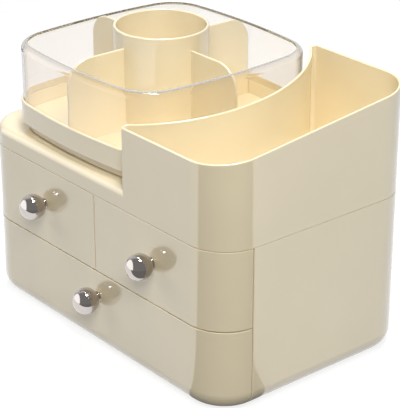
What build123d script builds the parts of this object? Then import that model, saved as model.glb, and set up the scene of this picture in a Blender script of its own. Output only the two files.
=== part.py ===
from build123d import *
import math
import os

# Makeup organizer with a turning tray, an open tub and three drawers, in millimetres.
# Every piece is modelled about the middle of the cabinet's plan: X is the width, Y runs from the
# drawer fronts (-Y) to the back, and Z is up from the floor. The last step moves all pieces
# together, so that the origin is the bottom centre of the whole object, knobs included.

# ---- cabinet ----
CAB_WIDTH = 300.0
CAB_DEPTH = 195.0
CORNER_R = 34.0             # upright corners
BOTTOM_R = 14.5             # rounding along the bottom edge
WALL = 2.5                  # casing, drawer fronts and cover
FOOT_PROUD = 1.2            # how far the feet lift the cabinet
LOWER_BAY = 67.6            # cabinet bottom to the seam under the small drawers
UPPER_BAY = 64.5            # that seam to the seam under the cover
WRAP = 32.1                 # how far the drawer fronts reach round the corners
SPLIT_X = 2.0               # seam between the small drawers
SEAM = 0.8                  # shut line round the drawer fronts
EDGE_R = 0.5                # softened edges along the shut lines
COVER_GAP = 0.3             # closed joint between the casing and the cover
SHELF = 3.0
SHELF_LEDGE = 2.0           # ledge that carries the shelf, square in section
PARTITION = 2.4
FRAME_SETBACK = 0.4         # shelf, deck and partition behind the drawer fronts

# ---- drawers ----
BOX_WALL = 2.0
SIDE_RUN = 0.7              # play at each side of a drawer
FLOOR_RUN = 0.4             # play under a drawer
BACK_RUN = 1.0              # space behind a closed drawer
HEAD_ROOM = 2.6             # drawer rim to the deck or shelf above
TRAVEL = 130.0
STOP_WIDTH = 60.0
STOP_RIB = 3.0              # thickness of the rib that catches the drawer
STOP_DEPTH = 1.6            # how far that rib hangs down
LUG_PLAY = 0.4              # lug to the ceiling that it slides under
STOP_PLAY = 0.3             # lug to rib at full travel
BOX_INNER_R = 5.0           # box corners beside the partition
BOX_BASE_R = 4.0            # bottom rounding of a small drawer

# ---- knobs ----
KNOB_R = 10.5
KNOB_OUT = 11.1             # ball centre in front of the drawer front
KNOB_MID_X = 3.6            # the lower knob, and the middle of the upper two
KNOB_PITCH = 68.6           # upper knobs either side of it
KNOB_UP_UPPER = 33.5        # above the seam under the small drawers
KNOB_UP_LOWER = 45.4        # above the cabinet bottom
COLLAR_R = 4.7
KNOB_SCREW_R = 1.9
KNOB_SCREW_BITE = 8.0
KNOB_HOLE_SPARE = 1.0       # tapped hole beyond the end of its screw
KNOB_HEAD_R = 3.6
KNOB_HEAD_H = 2.0
THREAD_GAP = 0.1
PEG_R = 2.4
PEG_SPACING = 50.0
PEG_GAP = 0.2

# ---- cover and tub ----
COVER_RISE = 16.4           # seam under the cover to the cover's flat top
COVER_R = 6.5               # rounding of its top edge
COVER_SKIN = 2.4
TUB_WALL = 2.2
TUB_TIP_R = 4.5             # rounded tips where the curved wall meets the front and back
TUB_RIM_FRONT = 49.2        # rim above the cover's flat top, at the front
TUB_RIM_BACK = 70.1         # and at the back
TUB_FLOOR_UP = 9.9          # inside floor above the seam under the cover
RIM_R = 0.8
TURN_GAP = 3.2              # turning tray to the tub's curved wall

# ---- turning tray ----
TRAY_SETBACK = 3.5          # tray side behind the drawer fronts
TRAY_SIDE_R = 496.5         # bulge of its sides
TRAY_CORNER_R = 37.3
TRAY_MARGIN = 0.4           # turning corners inside the cabinet's left face
BEARING_H = 7.1             # cover top to the underside of the tray floor
TRAY_FLOOR = 2.4
TRAY_RING_UP = 8.1          # underside of the tray's outer ring above the cover
TRAY_RIM_UP = 26.5
TRAY_EDGE_R = 1.2
RABBET = 5.0                # seat of the clear wall
RABBET_GAP = 0.2
RIM_WALL = 1.5
CLEAR_WALL = 1.6
CLEAR_TOP_UP = 72.1
CLEAR_SHOULDER = 5.0
CLEAR_LIP = 5.3             # rim of the clear wall inside its outer face
LEDGE = 0.3                 # tray's inner face inside the clear wall
PLINTH_INSET = 6.0
PLINTH_WALL = 2.0
PLINTH_UP = 1.0             # plinth above the cover

# ---- dividers and cup ----
CUP_R = 37.7
CUP_WALL = 2.2
CUP_UP = 88.7               # cup rim above the cover
CUP_RIM_R = 0.9
DIVIDER = 2.0
DIVIDER_UP = 76.6
DIVIDER_CORNER_R = 20.0
DIVIDER_EDGE_R = 0.8
DIVIDER_GAP = 0.2
KEY_R = 2.0                 # pegs that key the dividers to the tray floor
KEY_CIRCLE_R = 24.0
KEY_COUNT = 2
KEY_TURN = 45.0

# ---- turntable ----
PIVOT_R = 9.0
PIVOT_GAP = 0.06            # running clearance
PIVOT_PLAY = 0.3            # end play under the washer
HUB_WALL = 5.0
HUB_UP = 1.0
WASHER_R = 12.0
WASHER_H = 1.2
PIVOT_SCREW_R = 2.4
PIVOT_SCREW_BITE = 12.0
PIVOT_HEAD_R = 4.6
PIVOT_HEAD_H = 3.0
PIVOT_SLOT = 0.75           # arms of the cross recess in its head
PIVOT_SLOT_DEPTH = 1.5
PIVOT_ROOT_R = 6.0
BALL_R = 1.8
BALL_CIRCLE_R = 49.0
RACE_T = 2.2
RACE_HALF = 14.0            # half width of each bearing ring, either side of the balls
BALL_COUNT = 24
GROOVE_GAP = 0.3
CAGE_WIDTH = 8.0
CAGE_T = 1.2
CAGE_GAP = 0.1
RACE_SCREWS = 4
RACE_SCREW_OFF = 9.0        # screws inside the balls on the fixed ring, outside them on the turning one
LOWER_SCREW_TURN = 45.0     # first screw of the fixed ring, round from +X

# ---- small countersunk screws ----
SCREW_R = 1.2
SCREW_HEAD_R = 2.4
SCREW_HEAD_H = 1.4
SCREW_BOSS_R = 3.6
COVER_SCREW_BITE = 6.0
RACE_SCREW_BITE = 1.6
COVER_SCREW_IN = 22.0       # from the cabinet's sides
BOSS_BACK_IN = 20.0         # from the cabinet's back
BOSS_FRONT_IN = 26.0        # from the cabinet's front

# ---- feet ----
FOOT_R = 7.0
FOOT_RECESS = 1.0
FOOT_SIDE_IN = 40.0
FOOT_BACK_IN = 25.0
FOOT_FRONT_IN = 20.0        # behind the ends of the wrapped fronts

# ---- places that follow from the sizes ----
TALL = 400.0                # higher than any piece
NEAR = 1e-3                 # two points closer than this count as one place
FRONT_Y = -CAB_DEPTH / 2
BACK_Y = CAB_DEPTH / 2
SIDE_X = CAB_WIDTH / 2
WRAP_Y = FRONT_Y + WRAP
BASE_Z = FOOT_PROUD
MID_Z = BASE_Z + LOWER_BAY
TOP_Z = MID_Z + UPPER_BAY
COVER_Z = TOP_Z + COVER_RISE
DECK_TOP = TOP_Z - COVER_GAP / 2
DECK_UNDER = DECK_TOP - WALL
SHELF_TOP = MID_Z + SHELF / 2
SHELF_UNDER = MID_Z - SHELF / 2
PANEL_IN_Y = FRONT_Y + WALL
BOX_BACK_Y = BACK_Y - WALL - BACK_RUN
TUB_FLOOR_Z = TOP_Z + TUB_FLOOR_UP
TUB_UNDER_Z = TUB_FLOOR_Z - COVER_SKIN
RIM_SLOPE = (TUB_RIM_BACK - TUB_RIM_FRONT) / CAB_DEPTH

TRAY_HALF = CAB_DEPTH / 2 - TRAY_SETBACK
TRAY_FLOOR_UNDER = COVER_Z + BEARING_H
TRAY_FLOOR_TOP = TRAY_FLOOR_UNDER + TRAY_FLOOR
CLEAR_INSET = RIM_WALL + RABBET_GAP
CAVITY_INSET = CLEAR_INSET + CLEAR_WALL + LEDGE
PIVOT_TOP = TRAY_FLOOR_TOP + CUP_WALL + PIVOT_PLAY
BALL_Z = COVER_Z + BEARING_H / 2


def corner_centre():
    """Distance of a tray corner's centre from both of the tray's middle lines."""
    drop = TRAY_SIDE_R - TRAY_HALF
    inner = TRAY_SIDE_R - TRAY_CORNER_R
    return (math.sqrt(2 * inner ** 2 - drop ** 2) - drop) / 2


TRAY_REACH = corner_centre() * math.sqrt(2) + TRAY_CORNER_R
AXIS_X = -SIDE_X + TRAY_MARGIN + TRAY_REACH
TUB_ARC_R = TRAY_REACH + TURN_GAP
ORIGIN_SHIFT = (KNOB_OUT + KNOB_R) / 2


# ---- helpers ----
def slab(outline, low, high):
    """A level outline raised from one height to another."""
    return Pos(0, 0, low) * extrude(outline, amount=high - low)


def plan(x0, y0, x1, y1, radii):
    """A level rectangle with a radius for each corner, from the front left round by the front right."""
    corners = zip([(x0, y0), (x1, y0), (x1, y1), (x0, y1)], radii)
    with BuildSketch() as outline:
        with Locations(((x0 + x1) / 2, (y0 + y1) / 2)):
            Rectangle(x1 - x0, y1 - y0)
        for (x, y), radius in corners:
            fillet(outline.vertices().sort_by_distance((x, y, 0))[0], radius)
    return outline.sketch


def cabinet_plan(inset):
    """The cabinet's outline, moved inwards."""
    radii = [CORNER_R - inset] * 4
    return plan(-SIDE_X + inset, FRONT_Y + inset, SIDE_X - inset, BACK_Y - inset, radii)


def cabinet_block(inset, top):
    """The cabinet's solid form with its rounded bottom edge, moved inwards."""
    block = slab(cabinet_plan(inset), BASE_Z + inset, top)
    return fillet(block.faces().sort_by(Axis.Z)[0].edges(), BOTTOM_R - inset)


def region(x0, x1, y0, y1, z0, z1):
    """A plain box between limits."""
    return Pos((x0 + x1) / 2, (y0 + y1) / 2, (z0 + z1) / 2) * Box(x1 - x0, y1 - y0, z1 - z0)


def rod(radius, x, y, low, high):
    """An upright round bar."""
    return Pos(x, y, (low + high) / 2) * Cylinder(radius, high - low)


def rod_y(radius, x, z, front, back):
    """A round bar along Y."""
    return Pos(x, (front + back) / 2, z) * Rot(90, 0, 0) * Cylinder(radius, back - front)


def ring(outer, inner, low, high):
    """A flat ring about the turning axis."""
    return rod(outer, AXIS_X, 0, low, high) - rod(inner, AXIS_X, 0, low, high)


def soften(block, cuts, radius):
    """Rounds the edges that lie in exactly one of the cutting planes, each an axis number and a place."""
    chosen = []
    for edge in block.edges():
        points = [edge @ share for share in (0, 0.5, 1)]
        planes = [all(abs(tuple(point)[axis] - place) < NEAR for point in points) for axis, place in cuts]
        if sum(planes) == 1:
            chosen.append(edge)
    return fillet(chosen, radius)


def around(count, radius, start=0.0):
    """Places evenly spaced on a circle about the turning axis."""
    turns = [math.radians(start + 360 * i / count) for i in range(count)]
    return [(AXIS_X + radius * math.cos(turn), radius * math.sin(turn)) for turn in turns]


def lower_screw_places():
    """The screws that hold the fixed ring of the bearing to the cover."""
    return around(RACE_SCREWS, BALL_CIRCLE_R - RACE_SCREW_OFF, LOWER_SCREW_TURN)


def upper_screw_places():
    """The screws that hold the turning ring of the bearing to the tray floor."""
    return around(RACE_SCREWS, BALL_CIRCLE_R + RACE_SCREW_OFF)


def countersunk(x, y, face, bite, up):
    """A small screw whose flat head lies in a face; up is 1 where it is driven upwards, -1 downwards."""
    head = Cone(SCREW_HEAD_R, SCREW_R, SCREW_HEAD_H)
    head = Pos(0, 0, SCREW_HEAD_H / 2) * head
    shank = Pos(0, 0, (SCREW_HEAD_H + bite) / 2) * Cylinder(SCREW_R, SCREW_HEAD_H + bite)
    screw = head + shank
    if up < 0:
        screw = Rot(180, 0, 0) * screw
    return Pos(x, y, face) * screw


def screw_room(x, y, face, depth, up):
    """The hole for such a screw, a little wider than it."""
    wide = SCREW_R + THREAD_GAP
    head = Pos(0, 0, SCREW_HEAD_H / 2) * Cone(SCREW_HEAD_R + THREAD_GAP, wide, SCREW_HEAD_H)
    hole = Pos(0, 0, depth / 2) * Cylinder(wide, depth)
    room = head + hole
    if up < 0:
        room = Rot(180, 0, 0) * room
    return Pos(x, y, face) * room


def tray_outline(inset):
    """The tray's outline about its axis: a square with bulged sides and round corners."""
    side_r = TRAY_SIDE_R - inset
    corner_r = TRAY_CORNER_R - inset
    centre = corner_centre()
    drop = TRAY_SIDE_R - TRAY_HALF
    reach = TRAY_SIDE_R - TRAY_CORNER_R
    tangent = (side_r * centre / reach, side_r * (centre + drop) / reach - drop)
    middle = (0, side_r - drop)
    diagonal = centre + corner_r / math.sqrt(2)
    with BuildSketch() as outline:
        with BuildLine():
            for turn in range(4):
                spin = Rot(0, 0, 90 * turn)
                left = spin * Vertex(-tangent[0], tangent[1], 0)
                top = spin * Vertex(*middle, 0)
                right = spin * Vertex(*tangent, 0)
                corner = spin * Vertex(diagonal, diagonal, 0)
                after = spin * Vertex(tangent[1], tangent[0], 0)
                ThreePointArc(left.center(), top.center(), right.center())
                ThreePointArc(right.center(), corner.center(), after.center())
        make_face()
    return Pos(AXIS_X, 0, 0) * outline.sketch


# ---- cabinet pieces ----
def foot_places():
    """The four feet."""
    side = SIDE_X - FOOT_SIDE_IN
    return [(x, y) for x in (-side, side) for y in (WRAP_Y + FOOT_FRONT_IN, BACK_Y - FOOT_BACK_IN)]


def boss_places():
    """The four screws that hold the cover."""
    side = SIDE_X - COVER_SCREW_IN
    return [(x, y) for x in (-side, side) for y in (FRONT_Y + BOSS_FRONT_IN, BACK_Y - BOSS_BACK_IN)]


def stop_rib(middle_x, ceiling):
    """The rib under a ceiling that catches the lug at the back of a drawer."""
    back = BOX_BACK_Y - BOX_WALL - TRAVEL - STOP_PLAY
    half = STOP_WIDTH / 2
    return region(middle_x - half, middle_x + half, back - STOP_RIB, back, ceiling - STOP_DEPTH, ceiling)


def box_span(name):
    """The side faces of a drawer box."""
    outside = SIDE_X - WALL - SIDE_RUN
    inside = PARTITION / 2 + SIDE_RUN
    spans = {
        "lower": (-outside, outside),
        "upper_left": (-outside, SPLIT_X - inside),
        "upper_right": (SPLIT_X + inside, outside),
    }
    return spans[name]


def middle_of(name):
    """The middle of a drawer box across the cabinet."""
    return sum(box_span(name)) / 2


def cabinet_shell():
    """Back, sides, bottom and top deck in one moulding, open at the front."""
    shell = cabinet_block(0, DECK_TOP) & region(-SIDE_X, SIDE_X, WRAP_Y + SEAM / 2, BACK_Y, 0, TALL)
    shell = soften(shell, [(1, WRAP_Y + SEAM / 2), (2, DECK_TOP)], EDGE_R)
    shell -= cabinet_block(WALL, DECK_UNDER)
    shell += slab(cabinet_plan(WALL + FRAME_SETBACK), DECK_UNDER, DECK_TOP)
    for side in (-1, 1):
        wall_x = side * (SIDE_X - WALL)
        ledge_x = wall_x - side * SHELF_LEDGE
        low, high = sorted((wall_x, ledge_x))
        shell += region(low, high, WRAP_Y + SEAM, BACK_Y - CORNER_R, SHELF_UNDER - SHELF_LEDGE, SHELF_UNDER)
    for name in ("upper_left", "upper_right"):
        shell += stop_rib(middle_of(name), DECK_UNDER)
    for x, y in boss_places():
        shell -= screw_room(x, y, DECK_UNDER, WALL * 2, 1)
    for x, y in foot_places():
        shell -= rod(FOOT_R, x, y, 0, BASE_Z + FOOT_RECESS)
    return shell


def mid_shelf():
    """The level shelf that the small drawers slide on."""
    inset = WALL + FRAME_SETBACK
    shelf = slab(cabinet_plan(inset), SHELF_UNDER, SHELF_TOP)
    return shelf + stop_rib(middle_of("lower"), SHELF_UNDER)


def centre_partition():
    """The upright wall between the small drawers."""
    half = PARTITION / 2
    front = PANEL_IN_Y + FRAME_SETBACK
    return region(SPLIT_X - half, SPLIT_X + half, front, BACK_Y - WALL, SHELF_TOP, DECK_UNDER)


def rubber_feet():
    """Four round pads let into the bottom."""
    return Part() + [rod(FOOT_R, x, y, 0, BASE_Z + FOOT_RECESS) for x, y in foot_places()]


def tub_plan(inset):
    """The tub's outline: the cabinet's right part, cut by an arc about the turning axis."""
    with BuildSketch() as outline:
        add(cabinet_plan(inset))
        with Locations((AXIS_X, 0)):
            Circle(TUB_ARC_R + inset, mode=Mode.SUBTRACT)
        with Locations((AXIS_X - CAB_WIDTH, 0)):
            Rectangle(2 * CAB_WIDTH, 2 * CAB_DEPTH, mode=Mode.SUBTRACT)
        for side_y in (FRONT_Y + inset, BACK_Y - inset):
            fillet(outline.vertices().sort_by_distance((AXIS_X, side_y, 0))[0], TUB_TIP_R - inset)
    return outline.sketch


def rim_height(y):
    """Height of the tub's sloping rim at a place from front to back."""
    return COVER_Z + TUB_RIM_FRONT + RIM_SLOPE * (y - FRONT_Y)


def under_rim():
    """All that lies under the tub's sloping rim."""
    front = FRONT_Y - CAB_DEPTH
    back = BACK_Y + CAB_DEPTH
    corners = [(front, 0), (back, 0), (back, rim_height(back)), (front, rim_height(front))]
    return extrude(Plane.YZ * Polygon(*corners, align=None), amount=CAB_WIDTH, both=True)


def rim_edges(tub):
    """The edges of the sloping rim."""
    chosen = []
    for edge in tub.edges():
        points = [edge @ share for share in (0, 0.5, 1)]
        if all(abs(point.Z - rim_height(point.Y)) < NEAR for point in points):
            chosen.append(edge)
    return chosen


def top_cover():
    """The cover with its tall tub, in one moulding, and the pivot that the tray turns on."""
    low = TOP_Z + COVER_GAP / 2
    tub_block = slab(tub_plan(0), low, TALL)
    cover = slab(cabinet_plan(0), low, COVER_Z)
    cover = fillet(cover.faces().sort_by(Axis.Z)[-1].edges(), COVER_R)
    cover -= slab(cabinet_plan(WALL), 0, COVER_Z - COVER_SKIN)
    cover -= tub_block
    tub = tub_block & under_rim()
    tub -= slab(tub_plan(TUB_WALL), TUB_FLOOR_Z, TALL)
    tub = fillet(rim_edges(tub), RIM_R)
    tub -= slab(tub_plan(TUB_WALL), 0, TUB_UNDER_Z)
    cover += tub
    for x, y in boss_places():
        ceiling = TUB_UNDER_Z if x > 0 else COVER_Z - COVER_SKIN
        cover += rod(SCREW_BOSS_R, x, y, DECK_TOP, ceiling)
        cover -= rod(SCREW_R + THREAD_GAP, x, y, DECK_TOP, DECK_TOP + COVER_SCREW_BITE)
    cover += rod(PIVOT_ROOT_R, AXIS_X, 0, DECK_TOP, COVER_Z)
    cover += rod(PIVOT_R, AXIS_X, 0, COVER_Z - COVER_SKIN, PIVOT_TOP)
    cover -= rod(PIVOT_SCREW_R + THREAD_GAP, AXIS_X, 0, PIVOT_TOP - PIVOT_SCREW_BITE, PIVOT_TOP)
    for x, y in lower_screw_places():
        cover -= rod(SCREW_R + THREAD_GAP, x, y, COVER_Z - RACE_SCREW_BITE, COVER_Z)
    return cover


def cover_screws():
    """Countersunk screws driven up through the deck into the cover."""
    bite = WALL - SCREW_HEAD_H + COVER_SCREW_BITE - THREAD_GAP
    return Part() + [countersunk(x, y, DECK_UNDER, bite, 1) for x, y in boss_places()]


# ---- turntable ----
def race_ring(low):
    """A bearing ring with its underside at a height, before its groove and screw holes."""
    return ring(BALL_CIRCLE_R + RACE_HALF, BALL_CIRCLE_R - RACE_HALF, low, low + RACE_T)


def race_groove():
    """The room that the balls roll in."""
    return Pos(AXIS_X, 0, BALL_Z) * Torus(BALL_CIRCLE_R, BALL_R + GROOVE_GAP)


def turntable_lower_race():
    """The fixed ring of the bearing, screwed to the cover."""
    top = COVER_Z + RACE_T
    race = race_ring(COVER_Z) - race_groove()
    for x, y in lower_screw_places():
        race -= screw_room(x, y, top, RACE_T * 2, -1)
    return race


def lower_race_screws():
    """The screws of the fixed ring."""
    bite = RACE_T - SCREW_HEAD_H + RACE_SCREW_BITE - THREAD_GAP
    return Part() + [countersunk(x, y, COVER_Z + RACE_T, bite, -1) for x, y in lower_screw_places()]


def turntable_upper_race():
    """The turning ring of the bearing, screwed to the tray floor."""
    low = TRAY_FLOOR_UNDER - RACE_T
    race = race_ring(low) - race_groove()
    for x, y in upper_screw_places():
        race -= screw_room(x, y, low, RACE_T * 2, 1)
    return race


def upper_race_screws():
    """The screws of the turning ring."""
    bite = RACE_T - SCREW_HEAD_H + RACE_SCREW_BITE - THREAD_GAP
    low = TRAY_FLOOR_UNDER - RACE_T
    return Part() + [countersunk(x, y, low, bite, 1) for x, y in upper_screw_places()]


def ball_cage():
    """The ring that spaces the balls."""
    half = CAGE_WIDTH / 2
    cage = ring(BALL_CIRCLE_R + half, BALL_CIRCLE_R - half, BALL_Z - CAGE_T / 2, BALL_Z + CAGE_T / 2)
    for x, y in around(BALL_COUNT, BALL_CIRCLE_R):
        cage -= rod(BALL_R + CAGE_GAP, x, y, BALL_Z - CAGE_T, BALL_Z + CAGE_T)
    return cage


def bearing_balls():
    """The steel balls."""
    return Part() + [Pos(x, y, BALL_Z) * Sphere(BALL_R) for x, y in around(BALL_COUNT, BALL_CIRCLE_R)]


def pivot_washer():
    """The washer that keeps the tray on its pivot."""
    return ring(WASHER_R, PIVOT_SCREW_R + THREAD_GAP, PIVOT_TOP, PIVOT_TOP + WASHER_H)


def pivot_screw():
    """The screw in the bottom of the cup."""
    seat = PIVOT_TOP + WASHER_H
    head = rod(PIVOT_HEAD_R, AXIS_X, 0, seat, seat + PIVOT_HEAD_H)
    head = fillet(head.faces().sort_by(Axis.Z)[-1].edges(), PIVOT_HEAD_H / 2)
    for wide, deep in ((PIVOT_HEAD_R, PIVOT_SLOT), (PIVOT_SLOT, PIVOT_HEAD_R)):
        head -= Pos(AXIS_X, 0, seat + PIVOT_HEAD_H) * Box(wide, deep, 2 * PIVOT_SLOT_DEPTH)
    return head + rod(PIVOT_SCREW_R, AXIS_X, 0, PIVOT_TOP - PIVOT_SCREW_BITE + THREAD_GAP, seat)


# ---- turning tray ----
def tray_base():
    """The shallow cream tray with its hub, its plinth and the seat of the clear wall."""
    rim = COVER_Z + TRAY_RIM_UP
    tray = slab(tray_outline(0), COVER_Z + TRAY_RING_UP, rim)
    ends = tray.faces().sort_by(Axis.Z)
    tray = fillet(ends[0].edges() + ends[-1].edges(), TRAY_EDGE_R)
    tray -= slab(tray_outline(RIM_WALL), rim - RABBET, TALL)
    tray -= slab(tray_outline(CAVITY_INSET), 0, TALL)
    tray += slab(tray_outline(CAVITY_INSET), TRAY_FLOOR_UNDER, TRAY_FLOOR_TOP)
    plinth = slab(tray_outline(PLINTH_INSET), COVER_Z + PLINTH_UP, TRAY_FLOOR_TOP)
    plinth -= slab(tray_outline(PLINTH_INSET + PLINTH_WALL), 0, TRAY_FLOOR_UNDER)
    tray += plinth
    tray += rod(PIVOT_R + HUB_WALL, AXIS_X, 0, COVER_Z + HUB_UP, TRAY_FLOOR_TOP)
    tray -= rod(PIVOT_R + PIVOT_GAP, AXIS_X, 0, COVER_Z, TALL)
    for x, y in upper_screw_places():
        tray -= rod(SCREW_R + THREAD_GAP, x, y, TRAY_FLOOR_UNDER, TRAY_FLOOR_UNDER + RACE_SCREW_BITE)
    for x, y in around(KEY_COUNT, KEY_CIRCLE_R, KEY_TURN):
        tray -= rod(KEY_R + PEG_GAP, x, y, COVER_Z, TALL)
    return tray


def clear_surround():
    """The clear wall round the tray, rolled inwards at the top."""
    low = COVER_Z + TRAY_RIM_UP - RABBET
    top = COVER_Z + CLEAR_TOP_UP
    wall = slab(tray_outline(CLEAR_INSET), low, top)
    wall = fillet(wall.faces().sort_by(Axis.Z)[-1].edges(), CLEAR_SHOULDER)
    room = slab(tray_outline(CLEAR_INSET + CLEAR_WALL), 0, top - CLEAR_WALL)
    room = fillet(room.faces().sort_by(Axis.Z)[-1].edges(), CLEAR_SHOULDER - CLEAR_WALL)
    wall -= room
    return wall - slab(tray_outline(CLEAR_INSET + CLEAR_LIP), 0, TALL)


def divider_blade():
    """One upright blade from the axis outwards, with a round outer top corner."""
    reach = TRAY_HALF - CAVITY_INSET - DIVIDER_GAP
    height = COVER_Z + DIVIDER_UP - TRAY_FLOOR_TOP
    with BuildSketch(Plane.XZ) as side:
        with Locations((reach / 2, height / 2)):
            Rectangle(reach, height)
        fillet(side.vertices().sort_by_distance((reach, height, 0))[0], DIVIDER_CORNER_R)
    blade = extrude(side.sketch, amount=DIVIDER / 2, both=True)
    free = [edge for edge in blade.edges() if edge.center().Z > NEAR and edge.center().X > NEAR]
    outline = [edge for edge in free if abs(abs(edge.center().Y) - DIVIDER / 2) < NEAR]
    return Pos(AXIS_X, 0, TRAY_FLOOR_TOP) * fillet(outline, DIVIDER_EDGE_R)


def divider_insert():
    """The round cup with four blades, in one moulding that drops into the tray."""
    insert = rod(CUP_R, AXIS_X, 0, TRAY_FLOOR_TOP, COVER_Z + CUP_UP)
    axis = Axis((AXIS_X, 0, 0), (0, 0, 1))
    for turn in range(4):
        insert += divider_blade().rotate(axis, 90 * turn)
    insert -= rod(CUP_R - CUP_WALL, AXIS_X, 0, TRAY_FLOOR_TOP + CUP_WALL, TALL)
    insert = fillet(insert.faces().sort_by(Axis.Z)[-1].edges(), CUP_RIM_R)
    insert -= rod(PIVOT_R + PEG_GAP, AXIS_X, 0, 0, TALL)
    for x, y in around(KEY_COUNT, KEY_CIRCLE_R, KEY_TURN):
        insert += rod(KEY_R, x, y, TRAY_FLOOR_UNDER + PEG_GAP, TRAY_FLOOR_TOP + CUP_WALL)
    return insert


# ---- drawers ----
def knob_place(name):
    """Where a drawer's knob sits on its front."""
    places = {
        "lower": (KNOB_MID_X, BASE_Z + KNOB_UP_LOWER),
        "upper_left": (KNOB_MID_X - KNOB_PITCH, MID_Z + KNOB_UP_UPPER),
        "upper_right": (KNOB_MID_X + KNOB_PITCH, MID_Z + KNOB_UP_UPPER),
    }
    return places[name]


def peg_places(name):
    """The pegs either side of the knob that locate the front on the box."""
    x, z = knob_place(name)
    return [(x - PEG_SPACING / 2, z), (x + PEG_SPACING / 2, z)]


def box_limits(name):
    """Underside and rim of a drawer box."""
    if name == "lower":
        return BASE_Z + WALL + FLOOR_RUN, SHELF_UNDER - HEAD_ROOM
    return SHELF_TOP + FLOOR_RUN, DECK_UNDER - HEAD_ROOM


def drawer_box(name):
    """The drawer's open box, with a lug at the back that stops it at full travel."""
    x0, x1 = box_span(name)
    low, rim = box_limits(name)
    front_r = CORNER_R - WALL
    left_r = BOX_INNER_R if name == "upper_right" else front_r
    right_r = BOX_INNER_R if name == "upper_left" else front_r
    radii = [left_r, right_r, right_r, left_r]
    base_r = BOTTOM_R - WALL if name == "lower" else BOX_BASE_R
    box = slab(plan(x0, PANEL_IN_Y, x1, BOX_BACK_Y, radii), low, rim)
    box = fillet(box.faces().sort_by(Axis.Z)[0].edges(), base_r)
    inner_radii = [radius - BOX_WALL for radius in radii]
    inside = plan(x0 + BOX_WALL, PANEL_IN_Y + BOX_WALL, x1 - BOX_WALL, BOX_BACK_Y - BOX_WALL, inner_radii)
    hollow = slab(inside, low + BOX_WALL, TALL)
    hollow = fillet(hollow.faces().sort_by(Axis.Z)[0].edges(), base_r - BOX_WALL)
    box -= hollow
    middle = middle_of(name)
    half = STOP_WIDTH / 2
    lug_top = rim + HEAD_ROOM - LUG_PLAY
    box += region(middle - half, middle + half, BOX_BACK_Y - BOX_WALL, BOX_BACK_Y, rim - BOX_WALL, lug_top)
    x, z = knob_place(name)
    box -= rod_y(KNOB_SCREW_R + THREAD_GAP, x, z, PANEL_IN_Y - WALL, PANEL_IN_Y + 2 * BOX_WALL)
    for x, z in peg_places(name):
        box -= rod_y(PEG_R + PEG_GAP, x, z, PANEL_IN_Y - WALL, PANEL_IN_Y + 2 * BOX_WALL)
    return box


def drawer_front(name):
    """A slice of the cabinet's rounded form, wrapped round its front corners."""
    gap = SEAM / 2
    x0, x1, z0, z1 = -SIDE_X - gap, SIDE_X + gap, 0, MID_Z - gap
    cuts = [(1, WRAP_Y - gap)]
    if name == "lower":
        cuts += [(2, z1)]
    else:
        z0, z1 = MID_Z + gap, TOP_Z - gap
        split = SPLIT_X - gap if name == "upper_left" else SPLIT_X + gap
        x0, x1 = (x0, split) if name == "upper_left" else (split, x1)
        cuts += [(0, split), (2, z0), (2, z1)]
    front = cabinet_block(0, TALL) & region(x0, x1, FRONT_Y - gap, WRAP_Y - gap, z0, z1)
    front = soften(front, cuts, EDGE_R)
    front -= cabinet_block(WALL, TALL)
    for x, z in peg_places(name):
        front += rod_y(PEG_R, x, z, PANEL_IN_Y - WALL / 2, PANEL_IN_Y + BOX_WALL - PEG_GAP)
    x, z = knob_place(name)
    return front - rod_y(KNOB_SCREW_R + THREAD_GAP, x, z, FRONT_Y - WALL, PANEL_IN_Y + WALL)


def knob(name):
    """A polished ball on a short collar, tapped for its screw."""
    x, z = knob_place(name)
    ball = Pos(x, FRONT_Y - KNOB_OUT, z) * Sphere(KNOB_R)
    piece = ball + rod_y(COLLAR_R, x, z, FRONT_Y - KNOB_OUT, FRONT_Y)
    hole_end = FRONT_Y - KNOB_SCREW_BITE - KNOB_HOLE_SPARE
    return piece - rod_y(KNOB_SCREW_R + THREAD_GAP, x, z, hole_end, FRONT_Y)


def knob_screw(name):
    """The screw that clamps the knob, the front and the box together."""
    x, z = knob_place(name)
    seat = PANEL_IN_Y + BOX_WALL
    head = rod_y(KNOB_HEAD_R, x, z, seat, seat + KNOB_HEAD_H)
    return head + rod_y(KNOB_SCREW_R, x, z, FRONT_Y - KNOB_SCREW_BITE, seat)


# ---- all pieces ----
PIECES = {
    "cabinet_shell": cabinet_shell,
    "mid_shelf": mid_shelf,
    "centre_partition": centre_partition,
    "rubber_feet": rubber_feet,
    "top_cover": top_cover,
    "cover_screws": cover_screws,
    "turntable_lower_race": turntable_lower_race,
    "lower_race_screws": lower_race_screws,
    "turntable_upper_race": turntable_upper_race,
    "upper_race_screws": upper_race_screws,
    "ball_cage": ball_cage,
    "bearing_balls": bearing_balls,
    "pivot_washer": pivot_washer,
    "pivot_screw": pivot_screw,
    "tray_base": tray_base,
    "clear_surround": clear_surround,
    "divider_insert": divider_insert,
}
DRAWER_PIECES = {
    "drawer_box": drawer_box,
    "drawer_front": drawer_front,
    "knob": knob,
    "knob_screw": knob_screw,
}


def save(name, piece):
    """Writes one piece, moved with all the others to the object's own origin."""
    export_step(Pos(0, ORIGIN_SHIFT, 0) * piece, os.path.join("parts", name + ".step"))


os.makedirs("parts", exist_ok=True)
for piece_name, make in PIECES.items():
    save(piece_name, make())
for drawer in ("lower", "upper_left", "upper_right"):
    for kind, make in DRAWER_PIECES.items():
        save(f"{drawer}_{kind}", make(drawer))
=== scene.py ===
"""Dresses the rotating makeup organizer: finishes, turned knobs, studio and camera."""

import logging
import math
from dataclasses import dataclass, field
from enum import Enum

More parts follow.
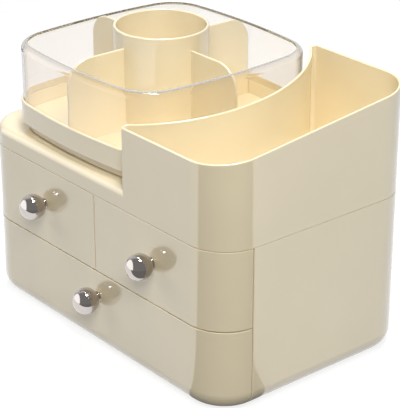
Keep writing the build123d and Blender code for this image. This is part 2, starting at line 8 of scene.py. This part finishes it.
import bmesh
import bpy
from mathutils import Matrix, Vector


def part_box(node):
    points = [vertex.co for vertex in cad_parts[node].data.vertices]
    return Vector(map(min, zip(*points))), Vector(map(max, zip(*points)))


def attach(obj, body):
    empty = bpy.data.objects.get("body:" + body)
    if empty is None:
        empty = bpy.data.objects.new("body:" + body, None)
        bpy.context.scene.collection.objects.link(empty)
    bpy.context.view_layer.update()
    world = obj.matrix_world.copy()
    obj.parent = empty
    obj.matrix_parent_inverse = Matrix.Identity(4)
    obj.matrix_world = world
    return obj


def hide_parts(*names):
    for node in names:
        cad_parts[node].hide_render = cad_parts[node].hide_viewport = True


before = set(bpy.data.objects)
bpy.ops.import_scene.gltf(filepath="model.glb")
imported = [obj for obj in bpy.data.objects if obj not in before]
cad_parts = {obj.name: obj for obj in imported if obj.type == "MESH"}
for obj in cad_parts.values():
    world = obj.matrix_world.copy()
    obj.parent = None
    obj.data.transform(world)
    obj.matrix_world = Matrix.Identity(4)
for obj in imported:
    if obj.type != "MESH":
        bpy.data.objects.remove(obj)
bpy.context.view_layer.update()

LOG = logging.getLogger("organizer")
DRAWERS = ("lower", "upper_left", "upper_right")
NOISE_DETAIL = 3.0
COLOUR_COARSER = 40             # how much coarser than the grain the colour's drift is
GLOSS_COARSER = 8
DRIFT_ENDS = (0.3, 0.7)         # noise values where the colour's drift is full
ROUND = 1e-6                    # a turned ring smaller than this is a point

Colour = tuple[float, float, float]
Point = tuple[float, float, float]
Spread = tuple[float, float]
Material = bpy.types.Material
Node = bpy.types.Node
Socket = bpy.types.NodeSocket
Tree = bpy.types.NodeTree


class Grain(Enum):
    """How coarse the small unevenness of a surface is, in cells per metre."""

    MOULDED = 420.0
    TURNED = 900.0
    SPUN = 1600.0


# ---------------------------------------------------------------- finishes
@dataclass(frozen=True)
class Finish:
    """A surface whose colour, gloss and skin vary a little, as on a real moulding.

    The strengths are small, so that the surface still reads as one material.
    """

    name: str
    colour: Colour
    roughness: float
    metallic: float = 0.0
    ior: float = 1.5
    coat: float = 0.0
    coat_ior: float = 1.5
    coat_roughness: float = 0.05
    colour_drift: float = 0.04
    roughness_drift: float = 0.05
    skin: float = 0.02
    skin_depth: float = 0.0002
    grain: Grain = Grain.MOULDED

    def material(self) -> Material:
        """Makes the material.

        Returns:
            The new material.
        """
        made = bpy.data.materials.new(self.name)
        made.use_nodes = True
        tree = made.node_tree
        shader = tree.nodes["Principled BSDF"]
        self._set_plain(shader)
        place = tree.nodes.new("ShaderNodeTexCoord").outputs["Object"]
        self._colour(tree, shader, place)
        self._gloss(tree, shader, place)
        self._skin(tree, shader, place)
        return made

    def _set_plain(self, shader: Node) -> None:
        """Sets the values that are the same all over.

        Args:
            shader: The main shader.
        """
        sockets = shader.inputs
        sockets["Metallic"].default_value = self.metallic
        sockets["IOR"].default_value = self.ior
        sockets["Coat Weight"].default_value = self.coat
        sockets["Coat IOR"].default_value = self.coat_ior
        sockets["Coat Roughness"].default_value = self.coat_roughness

    def _noise(self, tree: Tree, place: Socket, scale: float) -> Socket:
        """Adds a noise.

        Args:
            tree: The material's nodes.
            place: Where on the object.
            scale: Cells per metre.

        Returns:
            The noise's value.
        """
        noise = tree.nodes.new("ShaderNodeTexNoise")
        noise.inputs["Scale"].default_value = scale
        noise.inputs["Detail"].default_value = NOISE_DETAIL
        tree.links.new(place, noise.inputs["Vector"])
        return noise.outputs["Fac"]

    def _colour(self, tree: Tree, shader: Node, place: Socket) -> None:
        """Lets the colour drift slowly over the surface.

        Args:
            tree: The material's nodes.
            shader: The main shader.
            place: Where on the object.
        """
        ramp = tree.nodes.new("ShaderNodeValToRGB")
        low, high = ramp.color_ramp.elements
        low.position, high.position = DRIFT_ENDS
        low.color = (*[c * (1 - self.colour_drift) for c in self.colour], 1)
        high.color = (*[min(1.0, c * (1 + self.colour_drift / 2)) for c in self.colour], 1)
        tree.links.new(self._noise(tree, place, self.grain.value / COLOUR_COARSER), ramp.inputs["Fac"])
        tree.links.new(ramp.outputs["Color"], shader.inputs["Base Color"])

    def _gloss(self, tree: Tree, shader: Node, place: Socket) -> None:
        """Lets the gloss vary, as handling and the mould leave it.

        Args:
            tree: The material's nodes.
            shader: The main shader.
            place: Where on the object.
        """
        spread = tree.nodes.new("ShaderNodeMapRange")
        spread.inputs["To Min"].default_value = max(0.0, self.roughness - self.roughness_drift)
        spread.inputs["To Max"].default_value = self.roughness + self.roughness_drift
        tree.links.new(self._noise(tree, place, self.grain.value / GLOSS_COARSER), spread.inputs["Value"])
        tree.links.new(spread.outputs["Result"], shader.inputs["Roughness"])

    def _skin(self, tree: Tree, shader: Node, place: Socket) -> None:
        """Adds the faint ripple of the surface.

        Args:
            tree: The material's nodes.
            shader: The main shader.
            place: Where on the object.
        """
        bump = tree.nodes.new("ShaderNodeBump")
        bump.inputs["Strength"].default_value = self.skin
        bump.inputs["Distance"].default_value = self.skin_depth
        tree.links.new(self._noise(tree, place, self.grain.value), bump.inputs["Height"])
        tree.links.new(bump.outputs["Normal"], shader.inputs["Normal"])
        tree.links.new(bump.outputs["Normal"], shader.inputs["Coat Normal"])


@dataclass(frozen=True)
class ClearFinish(Finish):
    """A see-through moulding with a faint tint, and painted shade that darkens it where it is seen
    edge-on.
    """

    # painted shade: the near-black that the wall's colour is mixed towards where it is seen edge-on
    painted_edge_shade: Colour = (0.03, 0.03, 0.03)
    painted_edge_shade_start: float = 0.52

    def _colour(self, tree: Tree, shader: Node, place: Socket) -> None:
        """Lets the tint drift, and deepens it towards the edges, where light crosses more of the wall,
        with painted shade that goes nearly black edge-on.

        Args:
            tree: The material's nodes.
            shader: The main shader.
            place: Where on the object.
        """
        super()._colour(tree, shader, place)
        tint = shader.inputs["Base Color"].links[0].from_socket
        # painted shade: the tint is mixed towards near-black as the wall turns edge-on to the view
        share = tree.nodes.new("ShaderNodeMapRange")
        share.inputs["From Min"].default_value = self.painted_edge_shade_start
        tree.links.new(tree.nodes.new("ShaderNodeLayerWeight").outputs["Facing"], share.inputs["Value"])
        edge_shade_blend = tree.nodes.new("ShaderNodeMixRGB")
        edge_shade_blend.inputs["Color2"].default_value = (*self.painted_edge_shade, 1)
        tree.links.new(share.outputs["Result"], edge_shade_blend.inputs["Fac"])
        tree.links.new(tint, edge_shade_blend.inputs["Color1"])
        tree.links.new(edge_shade_blend.outputs["Color"], shader.inputs["Base Color"])

    def _set_plain(self, shader: Node) -> None:
        """Sets the values that are the same all over.

        Args:
            shader: The main shader.
        """
        super()._set_plain(shader)
        shader.inputs["Transmission Weight"].default_value = 1.0


CREAM = Finish("cream_moulding", (0.87, 0.755, 0.515), 0.34, coat=1.0, coat_ior=1.9, coat_roughness=0.07)
CLEAR = ClearFinish(
    "clear_moulding", (0.915, 0.885, 0.85), 0.01, ior=1.49,
    colour_drift=0.004, roughness_drift=0.004, skin=0.01,
)
CHROME = Finish(
    "polished_chrome", (0.55, 0.51, 0.49), 0.035, metallic=1.0,
    colour_drift=0.02, roughness_drift=0.015, skin=0.004, grain=Grain.TURNED,
)
STEEL = Finish(
    "zinc_steel", (0.62, 0.62, 0.61), 0.28, metallic=1.0,
    colour_drift=0.08, roughness_drift=0.10, skin=0.05, grain=Grain.SPUN,
)
NATURAL = Finish("bearing_plastic", (0.80, 0.79, 0.76), 0.45, colour_drift=0.05, skin=0.05)
RUBBER = Finish("foot_rubber", (0.33, 0.31, 0.28), 0.75, colour_drift=0.10, skin=0.15, grain=Grain.SPUN)


def dress(node: str, material: Material) -> None:
    """Gives a piece of the frame its material.

    Args:
        node: The piece's name.
        material: What it is made of.
    """
    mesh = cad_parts[node].data
    mesh.materials.clear()
    mesh.materials.append(material)
    LOG.info("dressed %s in %s", node, material.name)


# ---------------------------------------------------------------- sub-assemblies
@dataclass
class Casing:
    """The cabinet, its shelf and wall inside, its feet, and the cover with the tub."""

    cream: Material
    steel: Material
    rubber: Material
    moulded: tuple[str, ...] = ("cabinet_shell", "mid_shelf", "centre_partition", "top_cover")

    def build(self) -> None:
        """Dresses every piece of the casing."""
        for node in self.moulded:
            dress(node, self.cream)
        dress("cover_screws", self.steel)
        dress("rubber_feet", self.rubber)


@dataclass
class Turntable:
    """The ball bearing under the tray, and the pivot's washer and screw."""

    steel: Material
    natural: Material
    metal: tuple[str, ...] = (
        "lower_race_screws", "upper_race_screws", "bearing_balls", "pivot_washer", "pivot_screw",
    )
    plastic: tuple[str, ...] = ("turntable_lower_race", "turntable_upper_race", "ball_cage")

    def build(self) -> None:
        """Dresses every piece of the bearing."""
        for node in self.metal:
            dress(node, self.steel)
        for node in self.plastic:
            dress(node, self.natural)


@dataclass
class Carousel:
    """The turning tray, its clear wall, and the cup with its blades."""

    cream: Material
    clear: Material

    def build(self) -> None:
        """Dresses every piece that turns."""
        dress("tray_base", self.cream)
        dress("divider_insert", self.cream)
        dress("clear_surround", self.clear)
        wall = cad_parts["clear_surround"]
        wall.visible_shadow = wall.visible_diffuse = False  # a clear wall lets the light through


@dataclass
class TurnedKnob:
    """A polished ball on a waisted collar, turned from one bar.

    The frame's knob gives its place and its size. The collar's flange is straight for most of its
    thickness, has a broken edge, and then runs into the waist.
    """

    drawer: str
    chrome: Material
    collar_radius: float = 0.0047
    waist_radius: float = 0.0040
    flange: float = 0.0011
    flange_edge: float = 0.0002
    flange_straight: float = 0.8
    flange_end: float = 1.2
    around: int = 96
    along: int = 56
    centre: Vector = field(init=False)
    radius: float = field(init=False)
    seat: float = field(init=False)

    def __post_init__(self) -> None:
        """Reads the ball's radius, its centre and its seat from the frame."""
        low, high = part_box(f"{self.drawer}_knob")
        self.radius = (high.x - low.x) / 2
        self.centre = Vector(((low.x + high.x) / 2, low.y + self.radius, (low.z + high.z) / 2))
        self.seat = high.y

    def profile(self) -> list[tuple[float, float]]:
        """The turned outline.

        Returns:
            Pairs of radius and distance in front of the seat, from the seat to the ball's tip.
        """
        out = self.seat - self.centre.y
        meet = math.asin(self.waist_radius / self.radius)
        ball = [math.pi - meet - (math.pi - meet) * i / self.along for i in range(self.along + 1)]
        collar = [
            (self.collar_radius, 0.0),
            (self.collar_radius, self.flange * self.flange_straight),
            (self.collar_radius - self.flange_edge, self.flange),
            (self.waist_radius, self.flange * self.flange_end),
        ]
        return collar + [(self.radius * math.sin(a), out + self.radius * math.cos(a)) for a in ball]

    def build(self) -> bpy.types.Object:
        """Turns the outline about its axis and puts it in place of the frame's knob.

        Returns:
            The knob.
        """
        shape = bmesh.new()
        turns = [2 * math.pi * i / self.around for i in range(self.around)]
        rings = []
        for radius, out in self.profile():
            middle = self.centre + Vector((0, self.seat - self.centre.y - out, 0))
            if radius < ROUND:
                rings.append([shape.verts.new(middle)])
                continue
            rim = [middle + radius * Vector((math.cos(t), 0, math.sin(t))) for t in turns]
            rings.append([shape.verts.new(point) for point in rim])
        for first, second in zip(rings, rings[1:]):
            for i in range(self.around):
                after = (i + 1) % self.around
                if len(second) == 1:
                    shape.faces.new((first[i], first[after], second[0]))
                else:
                    shape.faces.new((first[i], first[after], second[after], second[i]))
        shape.faces.new(rings[0])
        bmesh.ops.recalc_face_normals(shape, faces=shape.faces)
        mesh = bpy.data.meshes.new(f"{self.drawer}_ball_knob")
        shape.to_mesh(mesh)
        shape.free()
        mesh.polygons.foreach_set("use_smooth", [True] * len(mesh.polygons))
        mesh.materials.append(self.chrome)
        piece = bpy.data.objects.new(f"{self.drawer}_ball_knob", mesh)
        bpy.context.scene.collection.objects.link(piece)
        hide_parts(f"{self.drawer}_knob")
        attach(piece, f"{self.drawer}_drawer")
        LOG.info("turned %s", piece.name)
        return piece


@dataclass
class Drawer:
    """One drawer: its front, its box, its knob and the knob's screw."""

    name: str
    cream: Material
    chrome: Material
    steel: Material

    def build(self) -> None:
        """Dresses the drawer and turns its knob."""
        dress(f"{self.name}_drawer_front", self.cream)
        dress(f"{self.name}_drawer_box", self.cream)
        dress(f"{self.name}_knob", self.chrome)
        dress(f"{self.name}_knob_screw", self.steel)
        TurnedKnob(self.name, self.chrome).build()


# ---------------------------------------------------------------- studio
@dataclass
class Lamp:
    """A soft square lamp that faces the object."""

    name: str
    place: Point
    side: float
    watts: float
    mirrored: bool = True
    aim: Point = (0.0, 0.0, 0.1)

    def build(self) -> None:
        """Hangs the lamp, unseen through the clear wall."""
        data = bpy.data.lights.new(self.name, "AREA")
        data.shape = "SQUARE"
        data.size = self.side
        data.energy = self.watts
        lamp = bpy.data.objects.new(self.name, data)
        bpy.context.scene.collection.objects.link(lamp)
        lamp.location = self.place
        lamp.visible_glossy = self.mirrored
        lamp.visible_transmission = False
        lamp.rotation_mode = "QUATERNION"
        lamp.rotation_quaternion = (Vector(self.aim) - Vector(self.place)).to_track_quat("-Z", "Y")
        LOG.info("hung %s", self.name)


@dataclass
class Studio:
    """The floor, the room, the soft lamps and the camera at the photograph's angle.

    Lengths are in metres and spreads in degrees. A glow, a tone or a room's value is a strength, where
    1 is white.
    """

    floor_half: float = 0.75
    floor_glow: float = 0.80
    floor_colour: float = 0.30
    floor_bounce: float = 0.20      # the grey that throws light up at the object
    room_dark: float = 0.27
    room_pale: float = 0.80
    behind_rise: float = 0.46       # the slope up to the middle of the pale wall
    behind_spread: Spread = (35.0, 60.0)
    room_above: float = 0.40
    above_spread: Spread = (50.0, 84.0)
    left_glow: float = 1.45
    left_spread: Spread = (38.0, 44.0)
    corner_radius: float = 0.034    # of the cabinet's near corner
    card_spread: float = 67.0
    card_steps: int = 32
    card_reach: float = 0.9
    card_height: float = 0.0005
    card_tone: float = 0.22
    camera_place: Point = (0.95893, -0.77473, 0.66157)
    camera_target: Point = (0.01093, 0.01080, 0.10002)
    lens: float = 150.13
    sensor: float = 36.0

    def floor(self) -> None:
        """Lays the floor, white to the camera and in reflections, with the object's soft shadow."""
        mesh = bpy.data.meshes.new("studio_floor")
        half = self.floor_half
        corners = [(-half, -half, 0), (half, -half, 0), (half, half, 0), (-half, half, 0)]
        mesh.from_pydata(corners, [], [(0, 1, 2, 3)])
        floor = bpy.data.objects.new("studio_floor", mesh)
        bpy.context.scene.collection.objects.link(floor)
        made = bpy.data.materials.new("white_floor")
        made.use_nodes = True
        tree = made.node_tree
        tree.nodes.clear()
        diffuse = tree.nodes.new("ShaderNodeBsdfDiffuse")
        diffuse.inputs["Color"].default_value = (self.floor_colour,) * 3 + (1,)
        glow = tree.nodes.new("ShaderNodeEmission")
        glow.inputs["Strength"].default_value = self.floor_glow
        both = tree.nodes.new("ShaderNodeAddShader")
        plain = tree.nodes.new("ShaderNodeBsdfDiffuse")
        plain.inputs["Color"].default_value = (self.floor_bounce,) * 3 + (1,)
        pick = tree.nodes.new("ShaderNodeMixShader")
        out = tree.nodes.new("ShaderNodeOutputMaterial")
        tree.links.new(diffuse.outputs[0], both.inputs[0])
        tree.links.new(glow.outputs[0], both.inputs[1])
        tree.links.new(self.seen(tree), pick.inputs["Fac"])
        tree.links.new(plain.outputs[0], pick.inputs[1])
        tree.links.new(both.outputs[0], pick.inputs[2])
        tree.links.new(pick.outputs[0], out.inputs["Surface"])
        mesh.materials.append(made)

    def card(self) -> None:
        """Lays the dark card that only reflections find.

        It is a sector about the near corner's own centre, so the rounded corner mirrors it at every height
        while the flat faces beside it mirror the white floor.
        """
        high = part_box("cabinet_shell")[1]
        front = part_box("lower_drawer_front")[0].y
        apex = Vector((high.x - self.corner_radius, front + self.corner_radius, self.card_height))
        towards = Vector(self.camera_place) - Vector(self.camera_target)
        facing = math.atan2(towards.y, towards.x)
        spread = math.radians(self.card_spread)
        turns = [facing - spread + 2 * spread * i / self.card_steps for i in range(self.card_steps + 1)]
        points = [apex] + [apex + self.card_reach * Vector((math.cos(t), math.sin(t), 0)) for t in turns]
        mesh = bpy.data.meshes.new("corner_card")
        mesh.from_pydata(points, [], [(0, i, i + 1) for i in range(1, len(points) - 1)])
        card = bpy.data.objects.new("corner_card", mesh)
        bpy.context.scene.collection.objects.link(card)
        made = bpy.data.materials.new("corner_card")
        made.use_nodes = True
        made.node_tree.nodes.clear()
        glow = made.node_tree.nodes.new("ShaderNodeEmission")
        glow.inputs["Strength"].default_value = self.card_tone
        out = made.node_tree.nodes.new("ShaderNodeOutputMaterial")
        made.node_tree.links.new(glow.outputs[0], out.inputs["Surface"])
        mesh.materials.append(made)
        card.visible_camera = card.visible_diffuse = False
        card.visible_shadow = card.visible_transmission = False

    def seen(self, tree: Tree) -> Socket:
        """Tells the rays that see the background from those that carry light to the object.

        Args:
            tree: The nodes to add to.

        Returns:
            1 for camera, glossy and see-through rays, otherwise 0.
        """
        path = tree.nodes.new("ShaderNodeLightPath")
        value = path.outputs["Is Camera Ray"]
        for kind in ("Is Glossy Ray", "Is Transmission Ray"):
            most = tree.nodes.new("ShaderNodeMath")
            most.operation = "MAXIMUM"
            tree.links.new(value, most.inputs[0])
            tree.links.new(path.outputs[kind], most.inputs[1])
            value = most.outputs[0]
        return value

    def world(self) -> None:
        """Makes the room as each kind of ray finds it.

        It is white to the camera and dark to the rays that light the object. Reflections find it dim,
        with a pale wall behind the object and a bright one at its left. Through the clear wall it is
        white low down and dimmer overhead.
        """
        world = bpy.data.worlds.new("studio_room")
        bpy.context.scene.world = world
        world.use_nodes = True
        tree = world.node_tree
        tree.nodes.clear()
        path = tree.nodes.new("ShaderNodeLightPath")
        place = tree.nodes.new("ShaderNodeTexCoord").outputs["Generated"]
        away = (Vector(self.camera_target) - Vector(self.camera_place)) * Vector((1, 1, 0))
        left = Vector((0, 0, 1)).cross(away)
        raised = away + Vector((0, 0, away.length * self.behind_rise))
        behind = self._patch(tree, place, raised, self.behind_spread)
        beside = self._patch(tree, place, left, self.left_spread)
        mirrored = self._background(tree, 1.0)
        strength = tree.nodes.new("ShaderNodeMath")
        strength.operation = "MULTIPLY_ADD"
        strength.inputs[1].default_value = self.left_glow
        tree.links.new(beside, strength.inputs[0])
        wall = self._scaled(tree, behind, self.room_dark, self.room_pale)
        tree.links.new(wall, strength.inputs[2])
        tree.links.new(strength.outputs[0], mirrored.inputs["Strength"])
        above = self._patch(tree, place, Vector((0, 0, 1)), self.above_spread)
        bent = self._background(tree, 1.0)
        tree.links.new(self._scaled(tree, above, 1.0, self.room_above), bent.inputs["Strength"])
        white = self._background(tree, 1.0)
        shown = self._background(tree, 0.0)
        for kind, background in (("Glossy", mirrored), ("Transmission", bent), ("Camera", white)):
            pick = tree.nodes.new("ShaderNodeMixShader")
            tree.links.new(path.outputs[f"Is {kind} Ray"], pick.inputs["Fac"])
            tree.links.new(shown.outputs[0], pick.inputs[1])
            tree.links.new(background.outputs[0], pick.inputs[2])
            shown = pick
        out = tree.nodes.new("ShaderNodeOutputWorld")
        tree.links.new(shown.outputs[0], out.inputs["Surface"])

    def _background(self, tree: Tree, strength: float) -> Node:
        """Adds a plain white background.

        Args:
            tree: The room's nodes.
            strength: How bright it is, where 1 is white.

        Returns:
            The background's node.
        """
        made = tree.nodes.new("ShaderNodeBackground")
        made.inputs["Color"].default_value = (1, 1, 1, 1)
        made.inputs["Strength"].default_value = strength
        return made

    def _patch(self, tree: Tree, place: Socket, centre: Vector, spread: Spread) -> Socket:
        """Marks the part of the room round a direction.

        Args:
            tree: The room's nodes.
            place: The direction that a ray leaves in.
            centre: The middle of the part.
            spread: Degrees from the middle to where the part is full, and to where it ends.

        Returns:
            1 in the part, falling to 0 outside it.
        """
        dot = tree.nodes.new("ShaderNodeVectorMath")
        dot.operation = "DOT_PRODUCT"
        dot.inputs[1].default_value = centre.normalized()
        tree.links.new(place, dot.inputs[0])
        fade = tree.nodes.new("ShaderNodeMapRange")
        fade.inputs["From Min"].default_value = math.cos(math.radians(spread[1]))
        fade.inputs["From Max"].default_value = math.cos(math.radians(spread[0]))
        tree.links.new(dot.outputs["Value"], fade.inputs["Value"])
        return fade.outputs["Result"]

    def _scaled(self, tree: Tree, share: Socket, low: float, high: float) -> Socket:
        """Turns a share into a strength.

        Args:
            tree: The room's nodes.
            share: From 0 to 1.
            low: The strength at 0.
            high: The strength at 1.

        Returns:
            The strength.
        """
        scale = tree.nodes.new("ShaderNodeMapRange")
        scale.inputs["To Min"].default_value = low
        scale.inputs["To Max"].default_value = high
        tree.links.new(share, scale.inputs["Value"])
        return scale.outputs["Result"]

    def lamps(self) -> None:
        """Hangs two lamps above, which the knobs mirror, a key lamp, and weak ones round the sides."""
        Lamp("overhead_front_lamp", (0.40, -0.11, 1.65), 0.34, 14.0).build()
        Lamp("overhead_back_lamp", (-0.33, 0.20, 1.63), 0.34, 6.5).build()
        Lamp("key_lamp", (0.95, -0.75, 1.15), 0.7, 16.6, mirrored=False).build()
        Lamp("left_lamp", (-1.1, -0.9, 0.9), 0.9, 5.2, mirrored=False).build()
        Lamp("right_lamp", (1.2, 0.8, 0.9), 0.9, 2.5, mirrored=False).build()
        Lamp("back_lamp", (-0.7, 0.9, 1.2), 0.9, 4.0, mirrored=False).build()

    def camera(self) -> None:
        """Sets up the camera."""
        data = bpy.data.cameras.new("photograph_camera")
        data.lens = self.lens
        data.sensor_width = self.sensor
        camera = bpy.data.objects.new("photograph_camera", data)
        bpy.context.scene.collection.objects.link(camera)
        place = Vector(self.camera_place)
        camera.location = place
        camera.rotation_mode = "QUATERNION"
        camera.rotation_quaternion = (Vector(self.camera_target) - place).to_track_quat("-Z", "Y")
        bpy.context.scene.camera = camera

    def build(self) -> None:
        """Sets up the whole studio."""
        bpy.context.scene.view_settings.view_transform = "Standard"
        self.floor()
        self.card()
        self.world()
        self.lamps()
        self.camera()


def main() -> None:
    """Builds the organizer's looks and the studio round it."""
    logging.basicConfig(level=logging.INFO, format="%(name)s: %(message)s")
    cream, clear, chrome = CREAM.material(), CLEAR.material(), CHROME.material()
    steel, natural, rubber = STEEL.material(), NATURAL.material(), RUBBER.material()
    Casing(cream, steel, rubber).build()
    Turntable(steel, natural).build()
    Carousel(cream, clear).build()
    for name in DRAWERS:
        Drawer(name, cream, chrome, steel).build()
    Studio().build()


if __name__ == "__main__":
    main()
